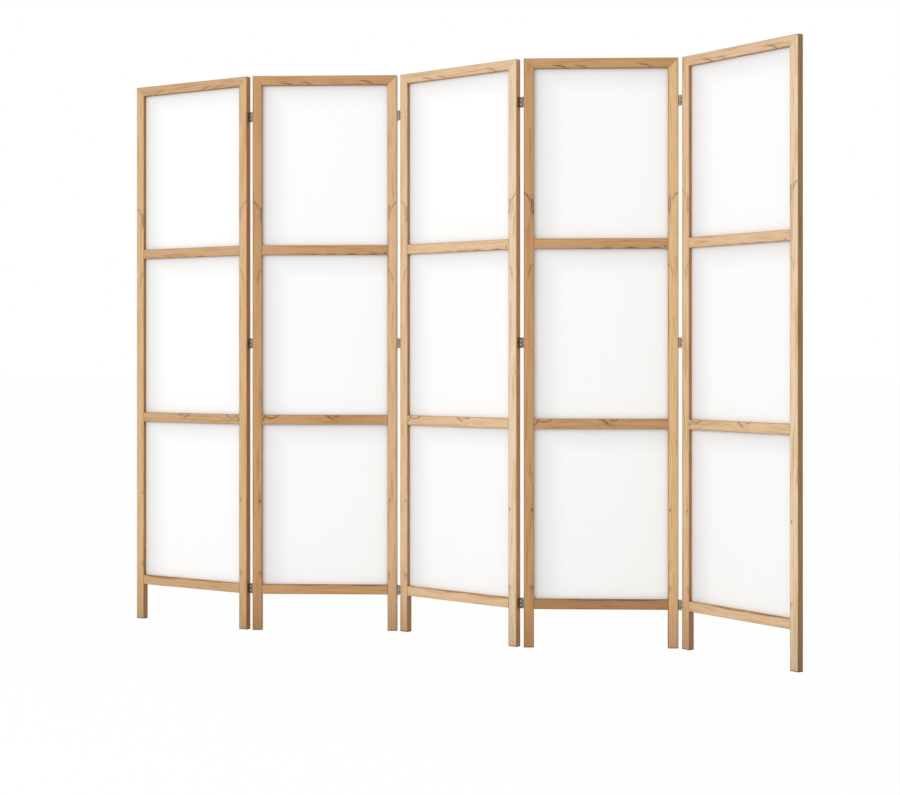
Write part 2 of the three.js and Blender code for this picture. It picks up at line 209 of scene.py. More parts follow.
# %% Floor
FLOOR_RADIUS = 60
FLOOR_PAINT, FLOOR_ROUGHNESS = "#F6F6F6", 0.9
OWN_WHITE, OWN_STRENGTH = 0.93, 1.007
bpy.ops.mesh.primitive_circle_add(vertices=64, radius=FLOOR_RADIUS, fill_type="NGON")
floor = bpy.context.object
floor.name = "studio_floor"
material, tree, shader = new_material("white_studio_paint")
shader.inputs["Base Color"].default_value = linear(FLOOR_PAINT)
shader.inputs["Roughness"].default_value = FLOOR_ROUGHNESS
share = calc(tree, "MULTIPLY", seen_or_mirrored(tree), OWN_WHITE)
white = add(tree, "ShaderNodeEmission", {"Color": WHITE, "Strength": OWN_STRENGTH}).outputs[0]
both = add(tree, "ShaderNodeMixShader", {0: share, 1: shader.outputs["BSDF"], 2: white})
tree.links.new(both.outputs[0], tree.nodes["Material Output"].inputs["Surface"])
floor.data.materials.append(material)
print("floor:", FLOOR_RADIUS, "m in radius")

# %% Soft lamp
LAMP_SIZE, LAMP_POWER = (3.2, 2.4), 92
LAMP_PLACE, LAMP_AIM = (-1.7, -6.5, 3.4), Vector((0, 0, 0.9))
lamp_data = bpy.data.lights.new("soft_lamp", "AREA")
lamp_data.shape = "RECTANGLE"
lamp_data.size, lamp_data.size_y = LAMP_SIZE
lamp_data.energy = LAMP_POWER
lamp = bpy.data.objects.new("soft_lamp", lamp_data)
bpy.context.scene.collection.objects.link(lamp)
lamp.location = LAMP_PLACE
lamp.rotation_euler = (LAMP_AIM - lamp.location).to_track_quat("-Z", "Y").to_euler()
print("lamp:", lamp_data.energy, "W at", tuple(lamp.location))

# %% [markdown]
# ## Pine
# The laths are planed Scots pine under a thin satin varnish: straw to honey coloured, with soft
# lengthwise rings, and brown arcs and eyes where the grain sweeps round a branch. Wood is a solid
# pattern, so it is built as one: growth rings are cylinders round the heart of the tree, which lies
# outside the lath, and they wander slowly along it. Every lath gets its own heart, its own tone and
# its own wander, and its end grain and its sides then agree with its face by themselves.
# An arc or an eye is a swelling in the ring count, round a point near the lath's edge: the rings go
# round it as they do round a knot. All lengths are in the lath's own millimetres: across from its
# outer or upper edge, back from the face, and along it.

# %% The laths of a panel and where they start
PANEL_HEIGHT = 1720.0
UPPER_RAIL, LOWER_RAIL, BOTTOM_RAIL = 1194.0, 668.0, 142.0
LATH_WIDTH, FULL_DEPTH = 30.0, 20.0
LATH_DEPTH = {"rail_middle_1": 11.0, "rail_middle_2": 11.0}
LEFT, RIGHT, DOWN, UP = (-1, 0, 0), (1, 0, 0), (0, 0, -1), (0, 0, 1)
# name: corner in the panel (mm), direction across, direction along
LATHS = {
    "stile_left": ((0, 0, 0), RIGHT, UP),
    "stile_right": ((PANEL_WIDTH, 0, 0), LEFT, UP),
    "rail_top": ((0, 0, PANEL_HEIGHT), DOWN, RIGHT),
    "rail_middle_2": ((LATH_WIDTH, 0, UPPER_RAIL), DOWN, RIGHT),
    "rail_middle_1": ((LATH_WIDTH, 0, LOWER_RAIL), DOWN, RIGHT),
    "rail_bottom": ((LATH_WIDTH, 0, BOTTOM_RAIL), DOWN, RIGHT),
}
print("laths on a panel:", len(LATHS))

# %% [markdown]
# ### Where the marks are
# The laths come from the same few boards, so their marks lie at the same places: two arcs and an eye
# high on each stile, a pin knot and a small arc low on it, and a run of arcs on the top rails.

# %% Marks in the grain
# A mark: centre (across, along), half size of the outline (across, along), lean in degrees, the way
# that its dark part looks (across, along; zero is all round), rings that the swelling adds, how dark
# the outline is, and how dark the core is.
ALL_ROUND = (0, 0)
STILE_MARKS = [
    ((-3, 1298), (21, 31), 0, (0.2, 1), 2.6, 0.9, 0.0),
    ((26, 1291), (2.6, 20), -3, ALL_ROUND, 2.4, 0.9, 0.0),
    ((33, 1086), (17, 34), 0, (-0.6, 0.8), 2.2, 0.7, 0.0),
    ((24, 404), (1.6, 3.2), 0, ALL_ROUND, 1.5, 0.5, 1.0),
    ((25, 170), (5, 11), 0, (0, 1), 2.0, 0.8, 0.3),
]
RAIL_MARKS = {
    "rail_top": [
        ((41, 94), (20, 42), 0, (-0.5, 0.85), 2.6, 1.0, 0.0),
        ((39, 152), (18, 34), 0, (-0.5, 0.85), 2.0, 0.8, 0.0),
        ((38, 336), (21, 40), 0, (-0.45, 0.9), 2.6, 1.0, 0.0),
        ((34, 400), (4.5, 34), 0, ALL_ROUND, 1.6, 0.8, 0.0),
    ],
    "rail_middle_2": [
        ((32, 157), (3.6, 12), 0, ALL_ROUND, 2.0, 1.0, 0.0),
        ((32, 213), (3.6, 12), 0, ALL_ROUND, 2.0, 1.0, 0.0),
        ((32, 280), (4.2, 17), 0, ALL_ROUND, 2.0, 1.0, 0.0),
        ((32, 349), (4.2, 15), 0, ALL_ROUND, 2.0, 1.0, 0.0),
        ((24, 380), (1.6, 3.2), 0, ALL_ROUND, 1.2, 0.5, 1.0),
    ],
    "rail_middle_1": [
        ((0, 28), (10, 21), 0, ALL_ROUND, 3.4, 1.0, 0.0),
        ((4, -8), (18, 17), 0, (0.8, 0.6), 2.2, 1.0, 0.0),
        ((6, 206), (1.2, 13), 30, ALL_ROUND, 1.6, 0.9, 0.0),
        ((-1, 234), (6, 10), 0, ALL_ROUND, 2.0, 0.9, 0.0),
        ((44, 118), (37, 92), 0, (-1, 0), 3.0, 0.22, 0.0),
    ],
    "rail_bottom": [
        ((-3, 165), (5, 70), 0, ALL_ROUND, 1.8, 1.0, 0.0),
        ((-3, 310), (6, 74), 0, ALL_ROUND, 2.0, 1.0, 0.0),
    ],
}
print("marks on a stile:", len(STILE_MARKS))

# %% [markdown]
# ### Tones
# The laths' tones are partly the pine's own and partly painted light: straw and blond for the third
# and the fifth panel, which turn towards the lamp, golden and amber for the others, and a darker tone
# as painted shade on the fourth panel's bottom rail. Resin shows boldly in the golden boards, faintly
# in the rest.

# %% Tones of the laths
# Painted light: the lighter tones stand for panels turned towards the lamp, the darker for those turned
# away.
AMBER, HONEY, GOLD, STRAW, BLOND = "#D2AF87", "#DCB78B", "#BE9366", "#DDBD9B", "#E6D0B6"
# The darker of the next two tones is painted shade, for the fourth panel's bottom rail.
TAN, SHADED_UMBER = "#C5A179", "#A27A4F"
TONES = {
    1: {"stile_left": AMBER, "stile_right": AMBER, "rails": TAN},
    2: {"stile_left": GOLD, "stile_right": AMBER, "rails": GOLD},
    3: {"stile_left": STRAW, "stile_right": BLOND, "rails": STRAW},
    4: {"stile_left": GOLD, "stile_right": HONEY, "rails": GOLD, "rail_bottom": SHADED_UMBER},
    5: {"stile_left": STRAW, "stile_right": BLOND, "rails": STRAW},
}
BOLD_TONES, BOLD, FAINT = (GOLD, SHADED_UMBER), 1.0, 0.68
LATE_WOOD, MARK_BROWN, KNOT_CORE = "#A2703F", "#59351A", "#43260F"
# The two side colours and the end colour below are painted shade, laid over the narrow sides.
ARRIS_BROWN, OUTER_SIDE_PAINTED_SHADE, INNER_SIDE_PAINTED_SHADE = "#775C3A", "#DBB781", "#BFA47B"
FAR_END, FAR_END_PAINTED_SHADE = (5, "stile_right"), "#A08353"
# The shares of a lath's red, green and blue in its broad streaks.
ROSY, PLAIN = (1.10, 0.92, 0.84), (1.17, 1.14, 1.16)
YELLOWED, DEEPER = (1.04, 1.03, 0.83), (0.85, 0.71, 0.57)
# A leg grows darker from this height (mm) down to its foot.
FOOT_REACH, FOOT_SHADE = 230.0, "#E4DED5"
ARRIS_SHARE, ARRIS_SHARE_AT_FOOT = 0.62, 0.9
print("laths to finish:", len(PANELS) * len(LATHS))


# %% [markdown]
# ### Finding a point's place in its lath
# The Mapping node in its texture mode undoes a placement: given the lath's corner and turn, it reads a
# point of the row as across, back and along the lath. A size of one thousandth turns metres into
# millimetres, and a negative one mirrors, for the laths that are counted from the far edge. The rails
# of the first panel are cut from boards turned end for end.

# %% Lath coordinates
def lath_placement(panel, lath):
    """Location, rotation and scale for a Mapping node that reads a lath's own millimetres."""
    corner, across, along = LATHS[lath]
    if panel == 1 and lath.startswith("rail"):
        corner = (PANEL_WIDTH - corner[0], corner[1], corner[2])
        along = LEFT
    across, back, along = Vector(across), Vector((0, 1, 0)), Vector(along)
    mirrored = across.cross(back).dot(along) < 0
    axes = Matrix((-across if mirrored else across, back, along)).transposed().to_4x4()
    turned = PLACES[panel] @ Matrix.Translation(Vector(corner) * MM) @ axes
    return turned.to_translation(), turned.to_euler(), (-MM if mirrored else MM, MM, MM)


# %% [markdown]
# ### Growth rings
# Growth rings of Scots pine are 2 to 3 mm wide. They are counted outwards from the heart of the tree,
# after a slow noise has pushed the point about by a few millimetres over half a metre, as a trunk
# wanders. The count rises by one with every ring, so its fraction says where in a ring a point lies.

# %% Rings
RING_WIDTH = (2.2, 2.9)
HEART_ACROSS, HEART_BACK = (-95, -60), (30, 95)
# The wander: its pace (per mm), its reach (mm), and the step in it from lath to lath.
WANDER_PACE, WANDER = (0.02, 0.02, 0.0035), (26.0, 26.0, 10.0)
WANDER_STEP = (3.7, 1.3, 2.9)
HALF = (0.5, 0.5, 0.5)


def growth_rings(tree, point, seed, chance):
    """The ring count at a point, the wander there, and the point moved by it."""
    slow = add(
        tree,
        "ShaderNodeMapping",
        {"Vector": point, "Location": [seed * step for step in WANDER_STEP], "Scale": WANDER_PACE},
    )
    noise = add(
        tree,
        "ShaderNodeTexNoise",
        {"Vector": slow.outputs[0], "Scale": 1.0, "Detail": 3.0, "Roughness": 0.45},
    )
    sway = add(
        tree, "ShaderNodeVectorMath", {0: noise.outputs["Color"], 1: HALF}, operation="SUBTRACT"
    ).outputs[0]
    swayed = add(
        tree, "ShaderNodeVectorMath", {0: sway, 1: WANDER, 2: point}, operation="MULTIPLY_ADD"
    ).outputs[0]
    heart = (chance.uniform(*HEART_ACROSS), chance.uniform(*HEART_BACK), 0)
    per_mm = 1 / chance.uniform(*RING_WIDTH)
    outward = add(tree, "ShaderNodeVectorMath", {0: swayed, 1: heart}, operation="SUBTRACT").outputs[0]
    flat = {0: outward, 1: (per_mm, per_mm, 0)}
    flat = add(tree, "ShaderNodeVectorMath", flat, operation="MULTIPLY").outputs[0]
    count = add(tree, "ShaderNodeVectorMath", {0: flat}, operation="LENGTH").outputs["Value"]
    return count, sway, swayed


# %% [markdown]
# ### Arcs, eyes and pin knots
# Near a mark the ring count swells smoothly by a few rings, so the rings that run straight along the
# lath bend round the point. The late wood that passes closest to it is dark with resin: one bold line
# 2 mm wide, with fainter ones beside it. Those lines follow an ellipse. How far a point lies from an
# ellipse, in millimetres, is its reading there less one, over the steepness of that reading, and one
# ramp then draws the whole bundle of lines. A pin knot also has a dark core.

# %% Marks in the grain
RUFFLE = (9.0, 7.0, 14.0)
MARK_DEPTH = 26.0
# How far a mark strays from its place on one lath or another (mm).
STRAYS_ACROSS, STRAYS_ALONG = 0.5, 3.0
# Readings of the ellipse, 1 on its outline: where the swelling and a core start, and are full.
SWELLS, FILLS = {"From Min": 2.0, "From Max": 0.4}, {"From Min": 0.9, "From Max": 0.5}
# How much a point lies the way that the mark looks: where the outline starts, and is whole.
FACES = {"From Min": 0.15, "From Max": 0.75}
# Readings of the sway: where the outline is faintest and where it is whole, and its faintest share.
PATCHY = {"From Min": -0.12, "From Max": 0.06, "To Min": 0.68}
# Distance from the outline (mm), darkness there
BUNDLE = ((-6.2, 0.0), (-5.2, 0.35), (-4.4, 0.0), (-2.2, 0.05), (-1.2, 1.0), (0.9, 1.0), (2.0, 0.12))
BUNDLE += ((3.4, 0.0), (4.8, 0.45), (5.6, 0.0))
BUNDLE_REACH = 8.0


def sweep_round_marks(tree, point, sway, rings, marks, chance):
    """The ring count with the marks' swellings, how dark their outlines are, and the knots' cores."""
    ruffled = add(
        tree, "ShaderNodeVectorMath", {0: sway, 1: RUFFLE, 2: point}, operation="MULTIPLY_ADD"
    ).outputs[0]
    outline, cores = 0.0, 0.0
    for (across, along), (wide, long), lean, looks, swelling, dark, core in marks:
        near = add(
            tree,
            "ShaderNodeMapping",
            {
                "Vector": ruffled,
                "Location": (
                    across + chance.uniform(-STRAYS_ACROSS, STRAYS_ACROSS),
                    0,
                    along + chance.uniform(-STRAYS_ALONG, STRAYS_ALONG),
                ),
                "Rotation": (0, math.radians(lean), 0),
                "Scale": (wide, MARK_DEPTH, long),
            },
            vector_type="TEXTURE",
        ).outputs[0]
        away = add(tree, "ShaderNodeVectorMath", {0: near}, operation="LENGTH").outputs["Value"]
        inside = ranged(tree, away, SWELLS, **GENTLY)
        rings = calc(tree, "MULTIPLY_ADD", inside, swelling, rings)
        slope = add(
            tree, "ShaderNodeVectorMath", {0: near, 1: (wide, MARK_DEPTH, long)}, operation="DIVIDE"
        ).outputs[0]
        slope = add(tree, "ShaderNodeVectorMath", {0: slope}, operation="LENGTH").outputs["Value"]
        beyond = calc(tree, "SUBTRACT", away, 1.0)
        beyond = calc(tree, "MULTIPLY", beyond, away)
        beyond = calc(tree, "DIVIDE", beyond, slope)
        place = ranged(tree, beyond, {"From Min": -BUNDLE_REACH, "From Max": BUNDLE_REACH})
        lines = add(tree, "ShaderNodeValToRGB", {"Fac": place})
        for stop in lines.color_ramp.elements:
            stop.color = (0, 0, 0, 1)
        for distance, value in BUNDLE:
            stop = lines.color_ramp.elements.new(0.5 + distance / BUNDLE_REACH / 2)
            stop.color = (value, value, value, 1)
        here = calc(tree, "MULTIPLY", lines.outputs["Color"], dark)
        if looks != ALL_ROUND:
            facing = add(
                tree,
                "ShaderNodeVectorMath",
                {0: near, 1: Vector((looks[0], 0, looks[1])).normalized()},
                operation="DOT_PRODUCT",
            ).outputs["Value"]
            here = calc(tree, "MULTIPLY", here, ranged(tree, facing, FACES, **GENTLY))
        outline = calc(tree, "MAXIMUM", outline, here)
        if core:
            spot = ranged(tree, away, {**FILLS, "To Max": core}, **GENTLY)
            cores = calc(tree, "MAXIMUM", cores, spot)
    # The outline comes and goes along its way, as resin does.
    along = add(tree, "ShaderNodeSeparateXYZ", {0: sway}).outputs["Z"]
    outline = calc(tree, "MULTIPLY", outline, ranged(tree, along, PATCHY), use_clamp=True)
    return rings, outline, cores


# %% [markdown]
# ### Arrises, narrow sides and feet
# The outer 3 mm of a face turn slowly browner towards the eased edges. The narrow sides carry painted
# shade: they are the darkest faces of the lath, the inner one most of all, with a rail's upper side
# counted as outer. All of it is read from how far a point is from the lath's middle line. A stile also
# has a lowest edge, and its leg grows a little darker towards it.

# %% Edges of a lath
# Shares of the way from the middle line to the outside: where each starts, and where it is full.
AT_ARRIS, AT_SIDE = {"From Min": 0.80, "From Max": 0.99}, {"From Min": 0.965, "From Max": 0.995}
# Heights (mm) where the dark edge of a foot starts, and where it is full.
AT_SOLE = {"From Min": 4.5, "From Max": 1.0}
ENDLESS = 1e6


def arris_and_side(tree, point, depth, stands):
    """From 0 to 1: at an arris, on a narrow side, on the outer half, and near the foot."""
    centred = add(
        tree,
        "ShaderNodeMapping",
        {
            "Vector": point,
            "Location": (LATH_WIDTH / 2, depth / 2, 0),
            "Scale": (LATH_WIDTH / 2, depth / 2, ENDLESS),
        },
        vector_type="TEXTURE",
    )
    outwards = add(tree, "ShaderNodeVectorMath", {0: centred.outputs[0]}, operation="ABSOLUTE")
    parts = add(tree, "ShaderNodeSeparateXYZ", {0: outwards.outputs[0]})
    x, y = parts.outputs["X"], parts.outputs["Y"]
    side = ranged(tree, x, AT_SIDE, **GENTLY)
    arris = ranged(tree, calc(tree, "MINIMUM", x, y), AT_ARRIS, **GENTLY)
    signed = add(tree, "ShaderNodeSeparateXYZ", {0: centred.outputs[0]}).outputs["X"]
    outer = calc(tree, "LESS_THAN", signed, 0.0)
    low = 0.0
    if stands:
        up = add(tree, "ShaderNodeSeparateXYZ", {0: point}).outputs["Z"]
        low = ranged(tree, up, {"From Min": FOOT_REACH, "From Max": 0.0})
        arris = calc(tree, "MAXIMUM", arris, ranged(tree, up, AT_SOLE, **GENTLY))
    return arris, side, outer, low


# %% [markdown]
# ### The finished pine
# The colour is laid on as the eye finds it: the tone of the board in broad bands, weak rings, fine
# fibres, the dark rings and cores of the marks, and last the arrises and the sides. The fibres also
# raise the surface by a tenth of a millimetre and break up its satin gloss.

# %% Pine material
# Place in a ring, its darkness there; and how dark the rings and the fibres are over the tone.
LATE_STOPS, WEAK_RING = ((0.42, 0.10), (0.80, 0.85), (0.92, 1.0)), 0.30
STREAKED = {"From Min": 0.48, "From Max": 0.8, "To Max": 0.34}
# How often the streaks and the fibres change (per mm), and the step in them from lath to lath.
STREAK_PACE, FIBRE_PACE = (0.16, 0.16, 0.006), (2.2, 2.2, 0.035)
STREAK_STEP = (11.0, 0.0, 5.0)
STREAK_ENDS = ((0.30, ROSY), (0.70, DEEPER))
STREAK_MIDDLE = ((0.42, PLAIN), (0.56, YELLOWED))
# From the fibres to the roughness of satin varnish.
SATIN, VARNISH_IOR = {"From Min": 0.2, "From Max": 0.8, "To Min": 0.42, "To Max": 0.60}, 1.5
GRAIN_RISE, GRAIN_STRENGTH, RING_RISE = 0.12 * MM, 0.35, 0.35


def varnished_pine(panel, lath, tone, seed):
    """Planed Scots pine under satin varnish, for one lath."""
    material, tree, shader = new_material(f"planed_varnished_pine_{panel}_{lath}")
    chance = random.Random(seed)
    location, rotation, scale = lath_placement(panel, lath)
    row = add(tree, "ShaderNodeTexCoord").outputs["Object"]
    point = add(
        tree,
        "ShaderNodeMapping",
        {"Vector": row, "Location": location, "Rotation": rotation, "Scale": scale},
        vector_type="TEXTURE",
    ).outputs[0]
    rings, sway, swayed = growth_rings(tree, point, seed, chance)
    marks = RAIL_MARKS.get(lath, STILE_MARKS)
    rings, outline, cores = sweep_round_marks(tree, point, sway, rings, marks, chance)
    stands = lath.startswith("stile")
    depth = LATH_DEPTH.get(lath, FULL_DEPTH)
    arris, side, outer, low = arris_and_side(tree, point, depth, stands)
    # The marks fade out on the narrow sides, under their painted shade.
    strength = BOLD if tone in BOLD_TONES else FAINT
    seen = ranged(tree, side, {"To Min": strength, "To Max": 0.0})
    outline = calc(tree, "MULTIPLY", outline, seen)

    ramp = add(tree, "ShaderNodeValToRGB", {"Fac": calc(tree, "FRACT", rings)})
    for stop in ramp.color_ramp.elements:
        stop.color = (0, 0, 0, 1)
    for at, value in LATE_STOPS:
        ramp.color_ramp.elements.new(at).color = (value, value, value, 1)
    late = ramp.outputs["Color"]

    shift = [seed * step for step in STREAK_STEP]
    broad = add(
        tree, "ShaderNodeMapping", {"Vector": swayed, "Location": shift, "Scale": STREAK_PACE}
    )
    cloud = add(
        tree, "ShaderNodeTexNoise", {"Vector": broad.outputs[0], "Scale": 1.0, "Detail": 3.0}
    )
    bare = linear(tone)[:3]
    band = add(tree, "ShaderNodeValToRGB", {"Fac": cloud.outputs["Fac"]})
    for stop, (at, shares) in zip(band.color_ramp.elements, STREAK_ENDS):
        stop.position = at
        stop.color = (*[c * s for c, s in zip(bare, shares)], 1.0)
    for at, shares in STREAK_MIDDLE:
        band.color_ramp.elements.new(at).color = (*[c * s for c, s in zip(bare, shares)], 1.0)
    fine = add(tree, "ShaderNodeMapping", {"Vector": swayed, "Location": shift, "Scale": FIBRE_PACE})
    fibre = add(
        tree, "ShaderNodeTexNoise", {"Vector": fine.outputs[0], "Scale": 1.0, "Detail": 2.0}
    ).outputs["Fac"]
    streak = ranged(tree, fibre, STREAKED)

    weak = calc(tree, "MULTIPLY", late, WEAK_RING)
    share = ranged(tree, low, {"To Min": ARRIS_SHARE, "To Max": ARRIS_SHARE_AT_FOOT})
    browned_arris = calc(tree, "MULTIPLY", arris, share)
    colour = band.outputs["Color"]
    for share, over in (
        (weak, linear(LATE_WOOD)),
        (streak, linear(LATE_WOOD)),
        (outline, linear(MARK_BROWN)),
        (cores, linear(KNOT_CORE)),
        (browned_arris, linear(ARRIS_BROWN)),
    ):
        colour = laid_over(tree, share, colour, over)
    # Painted shade on the narrow sides: the inner ones darker, the fifth panel's far end darkest.
    painted_outer_shade = linear(FAR_END_PAINTED_SHADE if (panel, lath) == FAR_END else OUTER_SIDE_PAINTED_SHADE)
    painted_side_shade = laid_over(tree, outer, linear(INNER_SIDE_PAINTED_SHADE), painted_outer_shade)
    for share, over in ((side, painted_side_shade), (low, linear(FOOT_SHADE))):
        colour = laid_over(tree, share, colour, over, blend_type="MULTIPLY")
    tree.links.new(colour, shader.inputs["Base Color"])

    tree.links.new(ranged(tree, fibre, SATIN), shader.inputs["Roughness"])
    height = calc(tree, "MULTIPLY_ADD", late, RING_RISE, fibre)
    relief = {"Strength": GRAIN_STRENGTH, "Distance": GRAIN_RISE, "Height": height}
    tree.links.new(add(tree, "ShaderNodeBump", relief).outputs[0], shader.inputs["Normal"])
    shader.inputs["IOR"].default_value = VARNISH_IOR
    return material


seed = 0
for panel in PANELS:
    for lath in LATHS:
        seed += 1
        tone = TONES[panel].get(lath, TONES[panel]["rails"])
        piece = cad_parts[f"panel_{panel}_{lath}"]
        piece.material_slots[0].material = varnished_pine(panel, lath, tone, seed)
print("pine on", seed, "laths")

# %% [markdown]
# ## Steel
# The hinges are pressed from zinc-plated strip steel. Years of handling leave the plating warm grey,
# a little mottled, with a soft metallic gleam. A fine cellular pattern, 0.7 mm wide like the spangle
# of thin plating, and clouds of 6 mm shift the grey and the gloss. The screws and the staples are the
# same metal, newer and brighter.

# %% Steel materials
SPANGLE, CLOUD = 0.7 * MM, 6 * MM
DULLER = 0.2


def plated_steel(name, tone, stain, roughness):
    """Zinc-plated steel: a mottle of two greys, rougher where it is stained."""
    material, tree, shader = new_material(name)
    row = add(tree, "ShaderNodeTexCoord").outputs["Object"]
    spangle = add(tree, "ShaderNodeTexVoronoi", {"Vector": row, "Scale": 1 / SPANGLE})
    cloud = add(tree, "ShaderNodeTexNoise", {"Vector": row, "Scale": 1 / CLOUD, "Detail": 3.0})
    mixed = calc(tree, "MULTIPLY", spangle.outputs["Color"], cloud.outputs["Fac"])
    colour = laid_over(tree, mixed, linear(tone), linear(stain))
    tree.links.new(colour, shader.inputs["Base Color"])
    rough = ranged(tree, mixed, {"To Min": roughness, "To Max": roughness + DULLER})
    tree.links.new(rough, shader.inputs["Roughness"])
    shader.inputs["Metallic"].default_value = 1.0
    return material


hinge_steel = plated_steel("zinc_plated_pressed_steel", "#AE9D8B", stain="#7B6C5B", roughness=0.40)
screw_steel = plated_steel("zinc_plated_screw_steel", "#B9B2A8", stain="#8A8078", roughness=0.28)
staple_wire = plated_steel("galvanised_staple_wire", "#C4C4C2", stain="#95938F", roughness=0.3)
hinge_nodes = [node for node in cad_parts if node.startswith("hinge_")]
for node in hinge_nodes:
    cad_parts[node].material_slots[0].material = hinge_steel
print("steel on", len(hinge_nodes), "hinge leaves")

# %% [markdown]
# ### Eased edges and round barrels
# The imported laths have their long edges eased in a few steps, and the barrels have sixteen flats. The
# cuts at the laths' ends and along the rebate are still sharp. One stroke of fine paper eases such an
# edge, so each gets a bevel of 0.6 mm, with the loose triangles welded first. Steps and flats are only
# shaded away: a small node group marks as smooth every edge that bends less than 35 degrees, and leaves
# the others crisp. All of these are modifiers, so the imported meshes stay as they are.

# %% Bevel the cuts, shade steps and flats round
WELD, EASED = 0.02 * MM, 0.6 * MM
ROUND_BEND, SHARP_CUT = math.radians(35), math.radians(50)


def smoothing_group(angle):
    """A node group that shades smooth across every edge that bends less than the angle."""
    group = bpy.data.node_groups.new("shade_by_angle", "GeometryNodeTree")
    group.interface.new_socket("Geometry", in_out="INPUT", socket_type="NodeSocketGeometry")
    group.interface.new_socket("Geometry", in_out="OUTPUT", socket_type="NodeSocketGeometry")
    given = add(group, "NodeGroupInput").outputs[0]
    smooth = add(
        group, "GeometryNodeSetShadeSmooth", {"Geometry": given, "Shade Smooth": True}, domain="FACE"
    )
    bend = add(group, "GeometryNodeInputMeshEdgeAngle").outputs["Unsigned Angle"]
    sharp = add(group, "FunctionNodeCompare", {0: bend, 1: angle}, operation="GREATER_THAN").outputs[0]
    crisp = add(
        group,
        "GeometryNodeSetShadeSmooth",
        {"Geometry": smooth.outputs[0], "Selection": sharp, "Shade Smooth": False},
        domain="EDGE",
    )
    add(group, "NodeGroupOutput", {0: crisp.outputs[0]})
    return group


def soften(node, name, eased):
    """Welds a CAD node's triangles, bevels its sharp cuts if they are eased, and shades the rest."""
    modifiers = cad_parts[node].modifiers
    modifiers.new("weld", "WELD").merge_threshold = WELD
    if eased:
        bevel = modifiers.new("eased_arrises", "BEVEL")
        bevel.width, bevel.segments = EASED, 2
        bevel.limit_method, bevel.angle_limit = "ANGLE", SHARP_CUT
    modifiers.new(name, "NODES").node_group = shade_round


shade_round = smoothing_group(ROUND_BEND)
for node in hinge_nodes:
    soften(node, "round_barrels", eased=False)
for panel in PANELS:
    for lath in LATHS:
        soften(f"panel_{panel}_{lath}", "soft_arrises", eased=True)
print("eased laths:", len(PANELS) * len(LATHS), "rounded leaves:", len(hinge_nodes))

# %% [markdown]
# ## Modelling kit
# Each new piece is modelled once at the origin, as by hand: a primitive, shaped in edit mode. What the
# operators act on is whatever is selected, so everything is deselected first. A copy then gets its own
# mesh, and the move to its place is written into that mesh, so that every object stays at the origin.

# %% Helpers for pieces
def start_alone():
    """Leaves edit mode and deselects everything."""
    if bpy.context.object and bpy.context.object.mode != "OBJECT":
        bpy.ops.object.mode_set(mode="OBJECT")
    bpy.ops.object.select_all(action="DESELECT")


def select_faces(piece, wanted):
    """Selects the faces whose centre and normal pass the test, and goes to edit mode on faces."""
    bpy.ops.object.mode_set(mode="EDIT")
    bpy.ops.mesh.select_mode(type="FACE")
    bpy.ops.mesh.select_all(action="DESELECT")
    bpy.ops.object.mode_set(mode="OBJECT")
    for face in piece.data.polygons:
        face.select = wanted(face.center, face.normal)
    bpy.ops.object.mode_set(mode="EDIT")


def pick(piece):
    """Selects one piece alone and makes it the active one."""
    start_alone()
    piece.select_set(True)
    bpy.context.view_layer.objects.active = piece


def settle(piece):
    """Writes an object's place, turn and size into its mesh."""
    pick(piece)
    bpy.ops.object.transform_apply(location=True, rotation=True, scale=True)


def apply_modifiers(piece):
    """Applies every modifier of a piece, in order."""
    pick(piece)
    for modifier in list(piece.modifiers):
        bpy.ops.object.modifier_apply(modifier=modifier.name)


def copied(source, name, matrix):
    """A copy with its own mesh, moved to its place inside that mesh."""
    piece = source.copy()
    piece.data = source.data.copy()
    piece.name = piece.data.name = name
    bpy.context.scene.collection.objects.link(piece)
    piece.data.transform(matrix)
    return piece


def joined(pieces, name):
    """Several pieces as one object."""
    start_alone()
    for piece in pieces:
        piece.select_set(True)
    bpy.context.view_layer.objects.active = pieces[0]
    bpy.ops.object.join()
    pieces[0].name = pieces[0].data.name = name
    return pieces[0]


# %% [markdown]
# ## Screws
# Each hinge leaf is held by two countersunk cross-head screws, 2.7 mm thick, with a head 5.3 mm wide.
# The head sits in the leaf's countersink, and its shank runs 10 mm into the stile. A screw is turned
# work, so it starts as one disc, the top of its head, and its outline is drawn down from it ring by
# ring. Two thin tapered blocks crossed over the head are then cut out of it, as the punch does it.

# %% One screw: head at z = 0 and facing +Z, shank towards -Z
HEAD_RADIUS, SHANK_RADIUS = 2.64, 1.36
HEAD_DEPTH, HEAD_RIM = HEAD_RADIUS - SHANK_RADIUS, 0.12
TOP_RADIUS = HEAD_RADIUS - 0.1
# height of each ring (mm), its radius
SCREW_RINGS = [
    (-HEAD_RIM, HEAD_RADIUS),
    (-HEAD_RIM - HEAD_DEPTH, SHANK_RADIUS),
    (-8.5, SHANK_RADIUS * 0.86),
    (-12.0, 0.15),
]
# The punch: long, wide and tall (mm), and the share of its width left at its tip.
PUNCH, PUNCH_TAPER = (3.1, 0.62, 1.6), 0.45
DOWNWARD = -0.9
start_alone()
bpy.ops.mesh.primitive_circle_add(vertices=16, radius=TOP_RADIUS * MM, fill_type="NGON")
screw = bpy.context.object
bpy.ops.object.mode_set(mode="EDIT")
bpy.ops.mesh.select_all(action="SELECT")
reached, radius = 0.0, TOP_RADIUS
for height, next_radius in SCREW_RINGS:
    bpy.ops.mesh.extrude_region_move(TRANSFORM_OT_translate={"value": (0, 0, (height - reached) * MM)})
    share = next_radius / radius
    bpy.ops.transform.resize(value=(share, share, 1), center_override=(0, 0, height * MM))
    reached, radius = height, next_radius
bpy.ops.mesh.select_all(action="SELECT")
bpy.ops.mesh.normals_make_consistent(inside=False)
bpy.ops.object.mode_set(mode="OBJECT")
screw.data.validate()
start_alone()
punches = []
